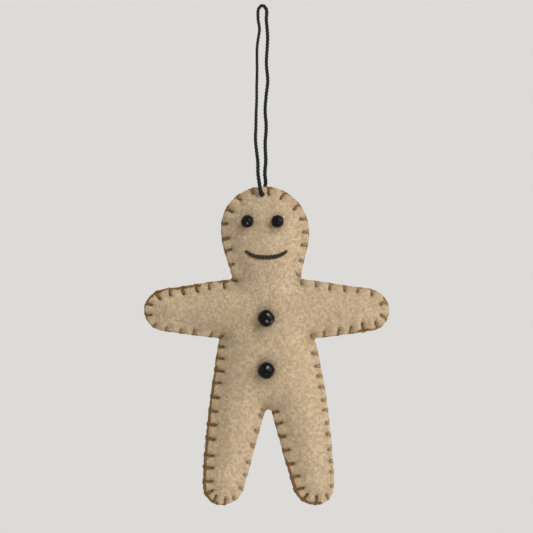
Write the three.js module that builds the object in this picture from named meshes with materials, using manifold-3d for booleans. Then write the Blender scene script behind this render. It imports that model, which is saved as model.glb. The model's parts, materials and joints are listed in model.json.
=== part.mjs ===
// A hanging felt ornament in the shape of a gingerbread figure: two felt panels, filled with loose
// stuffing and sewn together round their edge in blanket stitch, with glass beads for eyes and buttons,
// a stitched smile and a cord to hang it by. Millimetres, +Z up, the front faces -Y, and left and right
// are the viewer's. The top of the cord's loop is the origin.
import * as THREE from 'three';
import { mergeGeometries, mergeVertices } from 'three/addons/utils/BufferGeometryUtils.js';
import Module from 'manifold-3d';

const { Vector2, Vector3 } = THREE;
const wasm = await Module();
wasm.setup();

// The figure's outline: depths run down from the top of the head, half widths out from the middle line,
// and the leans are how far the hand-cut head and feet stand off that line.
const HEAD_RADIUS = 14.75;
const HEAD_LEAN = -0.5;
const CHEEK_DROP = 6.7;
const NECK_DEPTH = 32.05;
const NECK_HALF_WIDTH = 11.7;
const NECK_RISE = 5.2;
const ARM_REACH = 42.15;
const ARM_END_DEPTH = 42.85;
const ARM_END_RADIUS = 6.75;
const ARMPIT_DEPTH = 52.35;
const ARMPIT_HALF_WIDTH = 15.9;
const THIGH_DEPTH = 89.45;
const CROTCH_DEPTH = 76.9;
const CROTCH_RADIUS = 1.7;
const FOOT_OFFSET = 15.4;
const FOOT_RADIUS = 6.75;
const FOOT_LEAN = 0.6;
const FIGURE_HEIGHT = 110.4;

// Felt, seam and stuffing: the stuffing lifts a panel towards the limit where it has room, a larger
// evenness leaves the limbs flatter, and the stitches hold the felt down for a way in from the rim.
const FELT_THICKNESS = 1.2;
const SEAM_GAP = 0.3;
const SEAM_MARGIN = 0.1;
const SHOULDER_WIDTH = 1.9;
const SWELL_LIMIT = 6.5;
const SWELL_EVENNESS = 45;
const SEAM_HOLD = 3.5;
const MESH_STEP = 5.2;
const STUFFING_GAP = 0.4;
const CLEARANCE = 0.3;

// Blanket stitch: each stitch lies over the rim on both faces, and the counts leave the corners free.
const STITCH_THREAD = 0.9;
const STITCH_LEG = 1.9;
const RIM_CLEARANCE = 0.1;
const NEEDLE_CLEARANCE = 0.15;
const HEAD_STITCHES = 16;
const ARM_STITCHES = 14;
const LEG_STITCHES = 22;

// Beads: each is threaded along its bore, and the bore of a button is turned from level.
const EYE = { diameter: 4.5, length: 4, tableRadius: 1.2, shoulderRadius: 1.8, shoulderAt: 1.1 };
const BUTTON = { diameter: 6, length: 5.2, tableRadius: 1.5, shoulderRadius: 2.4, shoulderAt: 1.45 };
const BEAD_FACETS = 10;
const BEAD_THREAD = 0.4;
const BEAD_THREAD_SLANT = 0.9;
const BEAD_END_CLEARANCE = 0.1;
const BORE_CLEARANCE = 0.35;
const EYE_DEPTH = 12.25;
const EYE_SPACING = 9.6;
const EYE_SHIFT = -1.3;
const UPPER_BUTTON_DEPTH = 45.45;
const LOWER_BUTTON_DEPTH = 63.2;
const UPPER_BUTTON_TURN = 45;
const LOWER_BUTTON_TURN = -40;
const EYE_DENT = 0.6;
const BUTTON_DENT = 1.2;
const EYE_DENT_RADIUS = 2.8;
const BUTTON_DENT_RADIUS = 4.2;

// Smile: a thick thread laid on the felt, thinner where its ends go in.
const SMILE_WIDTH = 14.4;
const SMILE_DEPTH = 22.2;
const SMILE_SAG = 2.4;
const SMILE_THREAD = 1.4;
const SMILE_END_THREAD = 0.8;

// Hanging cord: it goes through the head just under the top edge and is knotted behind the head.
const CORD_DIAMETER = 1.1;
const CORD_DROP = 66.3;
const CORD_HOLE_DEPTH = 2.55;
const CORD_HOLE_SHIFT = -0.5;
const STRAND_CLEARANCE = 0.5;
const KNOT_TURN_RADIUS = 0.95;
const KNOT_TILT = 35;
const KNOT_SET_BACK = 0.5;
const TAIL_LENGTH = 2.6;
const TAIL_SPREAD = 25;
const TAIL_DROP = 25;

// How finely round threads, cords, knots and dents are cut into flats, and a length too short to see.
const STITCH_SIDES = 4;
const THREAD_SIDES = 6;
const TUFT_SIDES = 6;
const CORD_SIDES = 8;
const CORD_STEPS = 76;
const KNOT_STEPS = 12;
const HAIR = 1e-4;

const FELT_COLOUR = '#bda583';
const STITCH_COLOUR = '#5f4420';
const CORD_COLOUR = '#232521';
const SMILE_COLOUR = '#2d2319';
const BEAD_COLOUR = '#121212';
const STUFFING_COLOUR = '#e8e4da';

const footDepth = FIGURE_HEIGHT - FOOT_RADIUS;
const rimFace = SEAM_GAP / 2 + FELT_THICKNESS;
const stitchLift = rimFace + CLEARANCE + STITCH_THREAD / 2;
const needleHole = STITCH_THREAD + 2 * NEEDLE_CLEARANCE;
const seamWidth = STITCH_LEG + needleHole / 2 + SEAM_MARGIN;
const throughSeam = 2 * (rimFace + SWELL_LIMIT);
const throughFelt = 4 * FELT_THICKNESS;

// The head stands a little to one side of the shoulders and the feet to the other.
function lean(depth) {
  if (depth < NECK_DEPTH) return HEAD_LEAN * (NECK_DEPTH - depth) / (NECK_DEPTH - HEAD_RADIUS);
  return FOOT_LEAN * (depth - NECK_DEPTH) / (FIGURE_HEIGHT - NECK_DEPTH);
}

// The same run of points on the other side of the middle line, in the order that carries on round.
function mirrored(points) {
  return points.map((point) => new Vector2(-point.x, point.y)).reverse();
}

// The head from the right side of the neck over the top to the left: evenly spaced points, two to each
// stitch.
function headPoints() {
  const path = new THREE.Path();
  const cheek = HEAD_RADIUS + CHEEK_DROP;
  const nape = NECK_DEPTH - NECK_RISE;
  path.moveTo(NECK_HALF_WIDTH, -NECK_DEPTH);
  path.bezierCurveTo(NECK_HALF_WIDTH, -nape, HEAD_RADIUS, -cheek, HEAD_RADIUS, -HEAD_RADIUS);
  path.absarc(0, -HEAD_RADIUS, HEAD_RADIUS, 0, Math.PI, false);
  path.bezierCurveTo(-HEAD_RADIUS, -cheek, -NECK_HALF_WIDTH, -nape, -NECK_HALF_WIDTH, -NECK_DEPTH);
  return path.getSpacedPoints(2 * HEAD_STITCHES);
}

// The right arm from the armpit round its end to the neck: two straight sides that meet an arc.
function rightArmPoints() {
  const armpit = new Vector2(ARMPIT_HALF_WIDTH, -ARMPIT_DEPTH);
  const neck = new Vector2(NECK_HALF_WIDTH, -NECK_DEPTH);
  const end = new Vector2(ARM_REACH - ARM_END_RADIUS, -ARM_END_DEPTH);
  const below = end.clone().sub(armpit);
  const above = end.clone().sub(neck);
  const lowSide = Math.atan2(below.y, below.x) - Math.asin(ARM_END_RADIUS / below.length());
  const highSide = Math.atan2(above.y, above.x) + Math.asin(ARM_END_RADIUS / above.length());
  const from = lowSide - Math.PI / 2;
  const path = new THREE.Path();
  path.moveTo(armpit.x, armpit.y);
  path.lineTo(end.x + ARM_END_RADIUS * Math.cos(from), end.y + ARM_END_RADIUS * Math.sin(from));
  path.absarc(end.x, end.y, ARM_END_RADIUS, from, highSide + Math.PI / 2, false);
  path.lineTo(neck.x, neck.y);
  return path.getSpacedPoints(2 * ARM_STITCHES);
}

// The right leg from the top of the crotch down its inner side, round the foot and up to the armpit.
function rightLegPoints() {
  const crotchCentre = CROTCH_DEPTH + CROTCH_RADIUS;
  const drop = footDepth - crotchCentre;
  const span = Math.hypot(FOOT_OFFSET, drop);
  const tilt = Math.atan2(FOOT_OFFSET, drop) - Math.asin((CROTCH_RADIUS + FOOT_RADIUS) / span);
  const outside = FOOT_OFFSET + FOOT_RADIUS;
  const path = new THREE.Path();
  path.moveTo(0, -CROTCH_DEPTH);
  path.absarc(0, -crotchCentre, CROTCH_RADIUS, Math.PI / 2, tilt, true);
  path.absarc(FOOT_OFFSET, -footDepth, FOOT_RADIUS, Math.PI + tilt, 2 * Math.PI, false);
  path.quadraticCurveTo(outside, -THIGH_DEPTH, ARMPIT_HALF_WIDTH, -ARMPIT_DEPTH);
  return path.getSpacedPoints(2 * LEG_STITCHES + 1);
}

// The whole outline, anticlockwise from the right side of the neck. Every second point takes a stitch,
// and the points between include the corners at the neck and armpits.
function figureOutline() {
  const arm = rightArmPoints();
  const leg = rightLegPoints();
  const runs = [headPoints(), mirrored(arm), mirrored(leg), leg, arm];
  const outline = runs.flatMap((run) => run.slice(0, -1));
  return outline.map((point) => new Vector2(point.x + lean(-point.y), point.y));
}

const outline = figureOutline();

// Unit normals that point into the figure, and how much further a corner has to move to keep its distance.
const inward = outline.map((point, index) => {
  const before = outline.at(index - 1);
  const after = outline[(index + 1) % outline.length];
  const arriving = point.clone().sub(before).normalize();
  const leaving = after.clone().sub(point).normalize();
  const along = arriving.clone().add(leaving).normalize();
  return { normal: new Vector2(-along.y, along.x), stretch: 1 / along.dot(leaving) };
});

function inset(index, distance) {
  const { normal, stretch } = inward[index];
  return outline[index].clone().addScaledVector(normal, distance * stretch);
}

function across(index, distance) {
  return outline[index].clone().addScaledVector(inward[index].normal, distance);
}

function insideOutline(point) {
  let inside = false;
  outline.forEach((a, index) => {
    const b = outline.at(index - 1);
    const spans = (a.y > point.y) !== (b.y > point.y);
    if (spans && point.x < (b.x - a.x) * (point.y - a.y) / (b.y - a.y) + a.x) inside = !inside;
  });
  return inside;
}

function depthInside(point) {
  return Math.min(...outline.map((edge) => edge.distanceTo(point)));
}

// Edges that only one triangle of a set has, in that triangle's direction.
function rimEdges(triangles) {
  const edges = new Map();
  for (const [a, b, c] of triangles) {
    for (const [from, to] of [[a, b], [b, c], [c, a]]) {
      if (!edges.delete(`${to} ${from}`)) edges.set(`${from} ${to}`, [from, to]);
    }
  }
  return [...edges.values()];
}

// Delaunay triangles, anticlockwise: each new point replaces the triangles whose circles it falls in. The
// points are first nudged by a hair, since evenly spaced ones can share a circle.
function triangulate(evenPoints) {
  const count = evenPoints.length;
  const far = 40 * FIGURE_HEIGHT;
  const points = evenPoints.map(({ x, y }, index) => {
    return new Vector2(x + HAIR * Math.cos(index * index), y + HAIR * Math.sin(index * index));
  });
  const all = [...points, new Vector2(-far, -far), new Vector2(far, -far), new Vector2(0, far)];
  const circled = (corners) => {
    const [a, b, c] = corners.map((index) => all[index]);
    const ab = b.clone().sub(a);
    const ac = c.clone().sub(a);
    const cross = 2 * ab.cross(ac);
    const x = (ac.y * ab.lengthSq() - ab.y * ac.lengthSq()) / cross;
    const y = (ab.x * ac.lengthSq() - ac.x * ab.lengthSq()) / cross;
    return { corners, centre: new Vector2(a.x + x, a.y + y), reach: x * x + y * y };
  };
  let kept = [circled([count, count + 1, count + 2])];
  points.forEach((point, index) => {
    const holds = (triangle) => triangle.centre.distanceToSquared(point) < triangle.reach;
    const hole = rimEdges(kept.filter(holds).map((triangle) => triangle.corners));
    kept = kept.filter((triangle) => !holds(triangle));
    for (const [from, to] of hole) kept.push(circled([from, to, index]));
  });
  return kept.map((triangle) => triangle.corners).filter((corners) => Math.max(...corners) < count);
}

// The places of the beads, where a tight thread draws the front felt in.
const tufts = [
  { x: EYE_SHIFT - EYE_SPACING / 2, depth: EYE_DEPTH, dent: EYE_DENT, radius: EYE_DENT_RADIUS },
  { x: EYE_SHIFT + EYE_SPACING / 2, depth: EYE_DEPTH, dent: EYE_DENT, radius: EYE_DENT_RADIUS },
  { x: 0, depth: UPPER_BUTTON_DEPTH, dent: BUTTON_DENT, radius: BUTTON_DENT_RADIUS },
  { x: 0, depth: LOWER_BUTTON_DEPTH, dent: BUTTON_DENT, radius: BUTTON_DENT_RADIUS },
];

// The flat pattern of one panel: its outline, the line where the seam ends, the row where the swell
// begins, a ring round each tuft with the tuft as its last point, and a staggered grid over the rest.
function panelPattern() {
  const border = outline.length;
  const points = [...outline];
  outline.forEach((_, index) => points.push(inset(index, seamWidth)));
  const sewn = points.length;
  const swellDepth = seamWidth + SHOULDER_WIDTH;
  for (let index = 0; index < border; index += 2) points.push(inset(index, swellDepth));
  const tuftPoints = tufts.map(({ x, depth, radius }) => {
    const centre = new Vector2(x, -depth);
    for (let turn = 0; turn < TUFT_SIDES; turn++) {
      const angle = 2 * Math.PI * turn / TUFT_SIDES;
      points.push(new Vector2(Math.cos(angle), Math.sin(angle)).multiplyScalar(radius).add(centre));
    }
    return points.push(centre) - 1;
  });
  const free = (point) => tufts.every(({ x, depth, radius }) => {
    return Math.hypot(point.x - x, point.y + depth) > radius + MESH_STEP / 2;
  });
  const rowStep = MESH_STEP * Math.sqrt(3) / 2;
  const rows = Math.ceil(FIGURE_HEIGHT / rowStep);
  const columns = Math.ceil(ARM_REACH / MESH_STEP);
  for (let row = 0; row < rows; row++) {
    for (let column = -columns; column <= columns; column++) {
      const point = new Vector2((column + (row % 2) / 2) * MESH_STEP, -row * rowStep);
      const roomy = depthInside(point) > swellDepth + MESH_STEP / 2;
      if (roomy && free(point) && insideOutline(point)) points.push(point);
    }
  }
  const middle = ([a, b, c]) => points[a].clone().add(points[b]).add(points[c]).divideScalar(3);
  const triangles = triangulate(points).filter((corners) => insideOutline(middle(corners)));
  return { points, triangles, sewn, tuftPoints };
}

const pattern = panelPattern();

// How far the stuffing lifts each point of a panel: a skin fixed along the rim and pressed up evenly,
// levelled so that the limbs swell as well as the body, and held down near the rim by the stitches.
function swell() {
  const { points, triangles } = pattern;
  const around = points.map(() => new Set());
  for (const corners of triangles) {
    for (const a of corners) corners.filter((b) => b !== a).forEach((b) => around[a].add(b));
  }
  const push = points.map((point, index) => {
    const spans = [...around[index]].map((other) => points[other].distanceToSquared(point));
    return spans.reduce((sum, span) => sum + span, 0) / spans.length / 4;
  });
  const lift = points.map(() => 0);
  const passes = 400;
  for (let pass = 0; pass < passes; pass++) {
    for (let index = outline.length; index < points.length; index++) {
      const others = [...around[index]];
      lift[index] = others.reduce((sum, other) => sum + lift[other], 0) / others.length + push[index];
    }
  }
  return lift.map((value, index) => {
    const depth = depthInside(points[index]);
    const held = depth ** 2 / (depth ** 2 + SEAM_HOLD ** 2);
    return SWELL_LIMIT * held * value / (value + SWELL_EVENNESS);
  });
}

const backLift = swell();
const frontLift = [...backLift];
pattern.tuftPoints.forEach((index, order) => {
  frontLift[index] -= tufts[order].dent;
});

// A closed slab over some of the pattern's triangles, from a near sheet to a far one. Each sheet has a
// lift for every point of the pattern and a rule that turns the lift into a place along Y.
function slab(triangles, nearLift, nearY, farLift, farY) {
  const { points } = pattern;
  const used = [...new Set(triangles.flat())];
  const place = new Map(used.map((index, order) => [index, order]));
  const near = used.flatMap((index) => [points[index].x, nearY(nearLift[index]), points[index].y]);
  const far = used.flatMap((index) => [points[index].x, farY(farLift[index]), points[index].y]);
  const count = used.length;
  const faces = [];
  for (const [a, b, c] of triangles.map((corners) => corners.map((index) => place.get(index)))) {
    faces.push(a, b, c, count + c, count + b, count + a);
  }
  for (const [from, to] of rimEdges(triangles)) {
    const a = place.get(from);
    const b = place.get(to);
    faces.push(b, a, count + a, b, count + a, count + b);
  }
  const geometry = new THREE.BufferGeometry();
  geometry.setAttribute('position', new THREE.Float32BufferAttribute([...near, ...far], 3));
  geometry.setIndex(faces);
  return geometry;
}

function toSolid(geometry) {
  const bare = geometry.clone();
  bare.deleteAttribute('normal');
  bare.deleteAttribute('uv');
  const merged = mergeVertices(bare, 1e-4);
  const vertProperties = new Float32Array(merged.attributes.position.array);
  const triVerts = new Uint32Array(merged.index.array);
  return new wasm.Manifold(new wasm.Mesh({ numProp: 3, vertProperties, triVerts }));
}

function toGeometry(solid) {
  const mesh = solid.getMesh();
  const geometry = new THREE.BufferGeometry();
  geometry.setAttribute('position', new THREE.BufferAttribute(mesh.vertProperties, 3));
  geometry.setIndex(new THREE.BufferAttribute(mesh.triVerts, 1));
  return geometry;
}

function cloth(name, geometry, colour) {
  const mesh = new THREE.Mesh(geometry, new THREE.MeshStandardMaterial({ color: colour, roughness: 0.95 }));
  mesh.name = name;
  return mesh;
}

// A round thread through every point given, closed at both ends, with a radius for each point.
function threadTube(points, radii, sides) {
  const last = points.length - 1;
  const corners = [];
  const faces = [];
  const heading = points.map((_, index) => {
    const ahead = points[Math.min(index + 1, last)].clone();
    return ahead.sub(points[Math.max(index - 1, 0)]).normalize();
  });
  const side = new Vector3(heading[0].y, -heading[0].x, 0).normalize();
  const swing = new THREE.Quaternion();
  points.forEach((point, index) => {
    const along = heading[index];
    side.applyQuaternion(swing.setFromUnitVectors(heading[Math.max(index - 1, 0)], along));
    const across = along.clone().cross(side);
    for (let turn = 0; turn < sides; turn++) {
      const angle = 2 * Math.PI * turn / sides;
      const corner = point.clone().addScaledVector(side, radii[index] * Math.cos(angle));
      corner.addScaledVector(across, radii[index] * Math.sin(angle));
      corners.push(corner.x, corner.y, corner.z);
    }
  });
  for (let ring = 0; ring < last; ring++) {
    for (let turn = 0; turn < sides; turn++) {
      const a = ring * sides + turn;
      const b = ring * sides + (turn + 1) % sides;
      faces.push(a, b, b + sides, a, b + sides, a + sides);
    }
  }
  const end = last * sides;
  for (let turn = 2; turn < sides; turn++) {
    faces.push(0, turn, turn - 1, end, end + turn - 1, end + turn);
  }
  const geometry = new THREE.BufferGeometry();
  geometry.setAttribute('position', new THREE.Float32BufferAttribute(corners, 3));
  geometry.setIndex(faces);
  return geometry;
}

const cordHoleX = lean(CORD_HOLE_DEPTH) + CORD_HOLE_SHIFT;
const figure = new THREE.Group();
figure.position.set(-cordHoleX, 0, CORD_HOLE_DEPTH - CORD_DROP);

// The two felt panels before their holes, and where the front one's face lies at a place on the figure.
const outerFace = (height) => rimFace + height;
const innerFace = (height) => SEAM_GAP / 2 + height;
const towardsFront = (rule) => (height) => -rule(height);
const { triangles } = pattern;
const frontSheet = slab(triangles, frontLift, towardsFront(outerFace), frontLift, towardsFront(innerFace));
const backSheet = slab(triangles, backLift, innerFace, backLift, outerFace);
const frontTarget = new THREE.Mesh(frontSheet);

function frontPoint(x, depth) {
  const ray = new THREE.Raycaster(new Vector3(x, -FIGURE_HEIGHT, -depth), new Vector3(0, 1, 0));
  return ray.intersectObject(frontTarget)[0].point;
}

// A place on the front felt and the way its face looks there, taken over a patch of the given radius.
function frontFace(x, depth, radius) {
  const rise = frontPoint(x, depth - radius).sub(frontPoint(x, depth + radius));
  const run = frontPoint(x + radius, depth).sub(frontPoint(x - radius, depth));
  return { point: frontPoint(x, depth), normal: run.cross(rise).normalize() };
}

// How far from the middle of the seam a stitch's thread lies where it goes down through the felt.
function stitchTop(index) {
  const hole = across(index, STITCH_LEG);
  return stitchLift - rimFace - frontPoint(hole.x, -hole.y).y;
}

// The strands of the cord keep clear of the stitches on top of the head.
const strandLift = stitchTop(HEAD_STITCHES) + STITCH_THREAD / 2 + STRAND_CLEARANCE + CORD_DIAMETER / 2;

// Blanket stitch: one thread that runs along the rim, comes up over the front edge at each stitch, goes
// down through both panels and comes back over the rear edge to the rim.
function stitchRoute() {
  const outside = -(RIM_CLEARANCE + STITCH_THREAD / 2);
  const roundEdge = 0.8;
  const turn = roundEdge * outside;
  const bendY = rimFace + roundEdge * (stitchLift - rimFace);
  const rimY = rimFace / 3;
  const route = [];
  const add = (point, y) => route.push(new Vector3(point.x, y, point.y));
  const beside = (index, step) => {
    const along = outline[(index + step) % outline.length].clone().sub(outline[index]).normalize();
    const square = new Vector2(-along.y, along.x).multiplyScalar(step);
    return outline[index].clone().addScaledVector(along, STITCH_THREAD).addScaledVector(square, outside);
  };
  for (let index = 1; index < outline.length; index += 2) {
    if (index > 1) add(inset(index - 1, outside), 0);
    add(beside(index, -1), -rimY);
    add(across(index, turn), -bendY);
    add(across(index, STITCH_LEG), -stitchTop(index));
    add(across(index, STITCH_LEG), stitchTop(index));
    add(across(index, turn), bendY);
    add(beside(index, 1), rimY);
  }
  add(inset(0, outside), 0);
  return route;
}

function stitchHoles() {
  const holes = [];
  for (let index = 1; index < outline.length; index += 2) {
    const centre = across(index, STITCH_LEG);
    const hole = new THREE.BoxGeometry(needleHole, throughSeam, needleHole);
    hole.rotateY(-inward[index].normal.angle());
    hole.translate(centre.x, 0, centre.y);
    holes.push(hole);
  }
  return mergeGeometries(holes);
}

const bore = BEAD_THREAD / 2 + BORE_CLEARANCE;

// A faceted glass bead with its bore along X.
function beadShape(bead) {
  const round = bead.diameter / 2;
  const half = bead.length / 2;
  const shoulder = [bead.shoulderRadius, -bead.shoulderAt];
  const profile = [[bore, -half], [bead.tableRadius, -half], shoulder, [round, 0]];
  const rising = profile.map(([x, y]) => new Vector2(x, y));
  const falling = profile.slice(0, -1).reverse().map(([x, y]) => new Vector2(x, -y));
  const shape = new THREE.LatheGeometry([...rising, ...falling, rising[0]], BEAD_FACETS);
  return shape.rotateZ(-Math.PI / 2);
}

// The thread that holds a bead: up through the felt under the bead, round its end, along the bore and
// down again. In the bead's own frame the felt's face is at Y 0 and Y points away from it.
function beadThread(bead) {
  const post = bead.length / 2 + BEAD_END_CLEARANCE + BEAD_THREAD / 2;
  const foot = post - BEAD_THREAD_SLANT;
  const axis = bead.diameter / 2 + CLEARANCE;
  const inside = -(FELT_THICKNESS + CLEARANCE);
  const roundEnd = [[post, axis - bead.tableRadius], [post, axis - bore], [post - bore, axis]];
  const half = [[foot, inside], [foot, CLEARANCE], ...roundEnd];
  const side = (sign) => half.map(([x, y]) => new Vector3(sign * x, y, 0));
  const route = [...side(-1), ...side(1).reverse()];
  const holes = [-foot, foot].map((x) => {
    const width = BEAD_THREAD + 2 * CLEARANCE;
    return new THREE.BoxGeometry(width, throughFelt, width).translate(x, 0, 0);
  });
  const shape = threadTube(route, route.map(() => BEAD_THREAD / 2), THREAD_SIDES);
  return { shape, holes: mergeGeometries(holes) };
}

// A bead and its thread in a group that stands on the felt, turned so that its bore lies along the felt.
function beadSet(name, bead, { x, depth, radius }, turn) {
  const { point, normal } = frontFace(x, depth, radius);
  const angle = THREE.MathUtils.degToRad(turn);
  const level = new Vector3(Math.cos(angle), 0, Math.sin(angle));
  const along = level.addScaledVector(normal, -level.dot(normal)).normalize();
  const frame = new THREE.Matrix4().makeBasis(along, normal, along.clone().cross(normal));
  const group = new THREE.Group();
  group.applyMatrix4(frame.setPosition(point));
  const thread = beadThread(bead);
  const gloss = new THREE.MeshStandardMaterial({ color: BEAD_COLOUR, roughness: 0.12 });
  const glass = new THREE.Mesh(beadShape(bead), gloss);
  glass.name = `${name}_bead`;
  glass.position.y = bead.diameter / 2 + CLEARANCE;
  group.add(glass, cloth(`${name}_thread`, thread.shape, BEAD_COLOUR));
  return { group, holes: thread.holes.applyMatrix4(frame) };
}

const [leftEye, rightEye, upperButton, lowerButton] = tufts;
const beads = [
  beadSet('left_eye', EYE, leftEye, 0),
  beadSet('right_eye', EYE, rightEye, 0),
  beadSet('upper_button', BUTTON, upperButton, UPPER_BUTTON_TURN),
  beadSet('lower_button', BUTTON, lowerButton, LOWER_BUTTON_TURN),
];

// The smile follows the felt at a small distance and dives through it at each end.
function smile() {
  const steps = 10;
  const inside = FELT_THICKNESS + CLEARANCE;
  const route = [];
  const radii = [];
  const holes = [];
  for (let step = 0; step <= steps; step++) {
    const share = 2 * step / steps - 1;
    const depth = SMILE_DEPTH + SMILE_SAG * (1 - share * share);
    const thick = SMILE_THREAD + (SMILE_END_THREAD - SMILE_THREAD) * share * share;
    const { point, normal } = frontFace(share * SMILE_WIDTH / 2, depth, SMILE_THREAD);
    const outer = point.clone().addScaledVector(normal, CLEARANCE + thick / 2);
    const inner = point.clone().addScaledVector(normal, -inside);
    const width = SMILE_END_THREAD + 2 * CLEARANCE;
    const ends = Math.abs(share) === 1;
    if (ends) holes.push(new THREE.BoxGeometry(width, throughFelt, width).translate(...point));
    const stretch = ends && share > 0 ? [outer, inner] : [inner, outer];
    for (const place of ends ? stretch : [outer]) {
      route.push(place);
      radii.push(thick / 2);
    }
  }
  return { shape: threadTube(route, radii, THREAD_SIDES), holes: mergeGeometries(holes) };
}

const mouth = smile();

// Felt panels with their needle holes, and the wads of stuffing between them.
const cordHoleWidth = CORD_DIAMETER + 2 * CLEARANCE;
const cordHole = new THREE.BoxGeometry(cordHoleWidth, throughSeam, cordHoleWidth);
cordHole.translate(cordHoleX, 0, -CORD_HOLE_DEPTH);
const seamHoles = toSolid(mergeGeometries([stitchHoles(), cordHole]));
const faceHoles = toSolid(mergeGeometries([mouth.holes, ...beads.map((bead) => bead.holes)]));
const frontPanel = toSolid(frontSheet).subtract(seamHoles).subtract(faceHoles);
const backPanel = toSolid(backSheet).subtract(seamHoles);

// The stuffing goes in as one wad to each limb, one to the head and one to the body.
function stuffing() {
  const inner = triangles.filter((corners) => Math.min(...corners) >= pattern.sewn);
  const room = (height) => innerFace(height) - STUFFING_GAP;
  const wad = slab(inner, frontLift, towardsFront(room), backLift, room);
  const whole = toSolid(wad).subtract(faceHoles);
  const far = 2 * FIGURE_HEIGHT;
  const gap = CLEARANCE / 2;
  const side = ARMPIT_HALF_WIDTH - SHOULDER_WIDTH;
  const hip = CROTCH_DEPTH - FOOT_RADIUS;
  const regions = [
    ['head', -far, far, -NECK_DEPTH + gap, far],
    ['torso', -side + gap, side - gap, -hip + gap, -NECK_DEPTH - gap],
    ['left_arm', -far, -side - gap, -ARMPIT_DEPTH, -NECK_DEPTH - gap],
    ['right_arm', side + gap, far, -ARMPIT_DEPTH, -NECK_DEPTH - gap],
    ['left_leg', -far, -gap, -far, -hip - gap],
    ['right_leg', gap, far, -far, -hip - gap],
  ];
  return regions.map(([name, left, right, low, high]) => {
    const region = new THREE.BoxGeometry(right - left, far, high - low);
    region.translate((left + right) / 2, 0, (low + high) / 2);
    return cloth(`${name}_stuffing`, toGeometry(whole.intersect(toSolid(region))), STUFFING_COLOUR);
  });
}

const stitches = stitchRoute();
const stitchRadii = stitches.map(() => STITCH_THREAD / 2);
figure.add(
  cloth('front_felt_panel', toGeometry(frontPanel), FELT_COLOUR),
  cloth('back_felt_panel', toGeometry(backPanel), FELT_COLOUR),
  ...stuffing(),
  cloth('blanket_stitch_thread', threadTube(stitches, stitchRadii, STITCH_SIDES), STITCH_COLOUR),
  cloth('smile_thread', mouth.shape, SMILE_COLOUR),
  ...beads.map((bead) => bead.group),
);

// The cord's route from behind the head, through it, up the front strand, over the top and down behind:
// across, share of the strands' lift off the head, and height above the hole.
const CORD_ROUTE = [
  [0, 0.65, 0], [0, 0, 0], [-0.1, -0.55, 0], [-0.5, -0.9, 0.7], [-0.85, -1, 2], [-1.15, -1, 4.6],
  [-1.5, -1, 9], [-1.8, -0.9, 13], [-2.3, -0.75, 18.6], [-2.3, -0.6, 24], [-2.1, -0.5, 31],
  [-2, -0.35, 37], [-1.9, -0.25, 43], [-1.7, -0.15, 52], [-1.2, -0.1, 57.7], [-1.45, 0, 61.6],
  [-1.2, 0, 64.5], [0, 0, 66.3], [1.15, 0, 64.5], [1.5, 0, 61.6], [1.6, 0.1, 57.5], [1.75, 0.15, 52],
  [1.4, 0.25, 47.5], [1.9, 0.35, 42], [1.6, 0.45, 37], [1, 0.6, 32], [1.1, 0.7, 26], [1, 0.85, 19],
  [1.1, 1, 12], [1.05, 1, 7], [0.95, 1.05, 4], [0.3, 1.1, 1.5],
];

function hangingCord() {
  const points = CORD_ROUTE.map(([x, share, rise]) => new Vector3(x, share * strandLift, rise - CORD_DROP));
  const section = new THREE.Shape().absarc(0, 0, CORD_DIAMETER / 2, 0, 2 * Math.PI, false);
  const extrudePath = new THREE.CatmullRomCurve3(points);
  const settings = { extrudePath, steps: CORD_STEPS, curveSegments: CORD_SIDES / 2 };
  return new THREE.ExtrudeGeometry(section, settings);
}

// The knot: two crossed turns of cord drawn tight round a core, with the two cut ends left short.
function cordKnot() {
  const cord = CORD_DIAMETER / 2;
  const tilt = THREE.MathUtils.degToRad(KNOT_TILT);
  const ring = new THREE.TorusGeometry(KNOT_TURN_RADIUS, cord, THREAD_SIDES, KNOT_STEPS);
  const turn = (angle) => ring.clone().rotateX(angle);
  const core = new THREE.SphereGeometry(KNOT_TURN_RADIUS, CORD_SIDES, THREAD_SIDES);
  const tail = (side) => {
    const spread = side * THREE.MathUtils.degToRad(TAIL_SPREAD);
    const drop = THREE.MathUtils.degToRad(TAIL_DROP);
    const tip = new Vector3(0, KNOT_TURN_RADIUS + TAIL_LENGTH, 0);
    tip.applyEuler(new THREE.Euler(-drop, 0, -spread));
    return threadTube([new Vector3(), tip], [cord, cord], CORD_SIDES);
  };
  const pieces = [turn(tilt), turn(-tilt), core, tail(1), tail(-1)].map(toSolid);
  return toGeometry(pieces.reduce((whole, piece) => whole.add(piece)));
}

const knot = cloth('cord_knot', cordKnot(), CORD_COLOUR);
knot.position.set(0, strandLift + KNOT_SET_BACK, -CORD_DROP);

const ornament = new THREE.Group();
ornament.add(cloth('hanging_cord', hangingCord(), CORD_COLOUR), knot, figure);

export default ornament;
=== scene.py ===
import json
import math
import random

import bmesh
import bpy
import numpy as np
from mathutils import Matrix, Vector, noise
from mathutils.bvhtree import BVHTree
from mathutils.kdtree import KDTree


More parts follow.
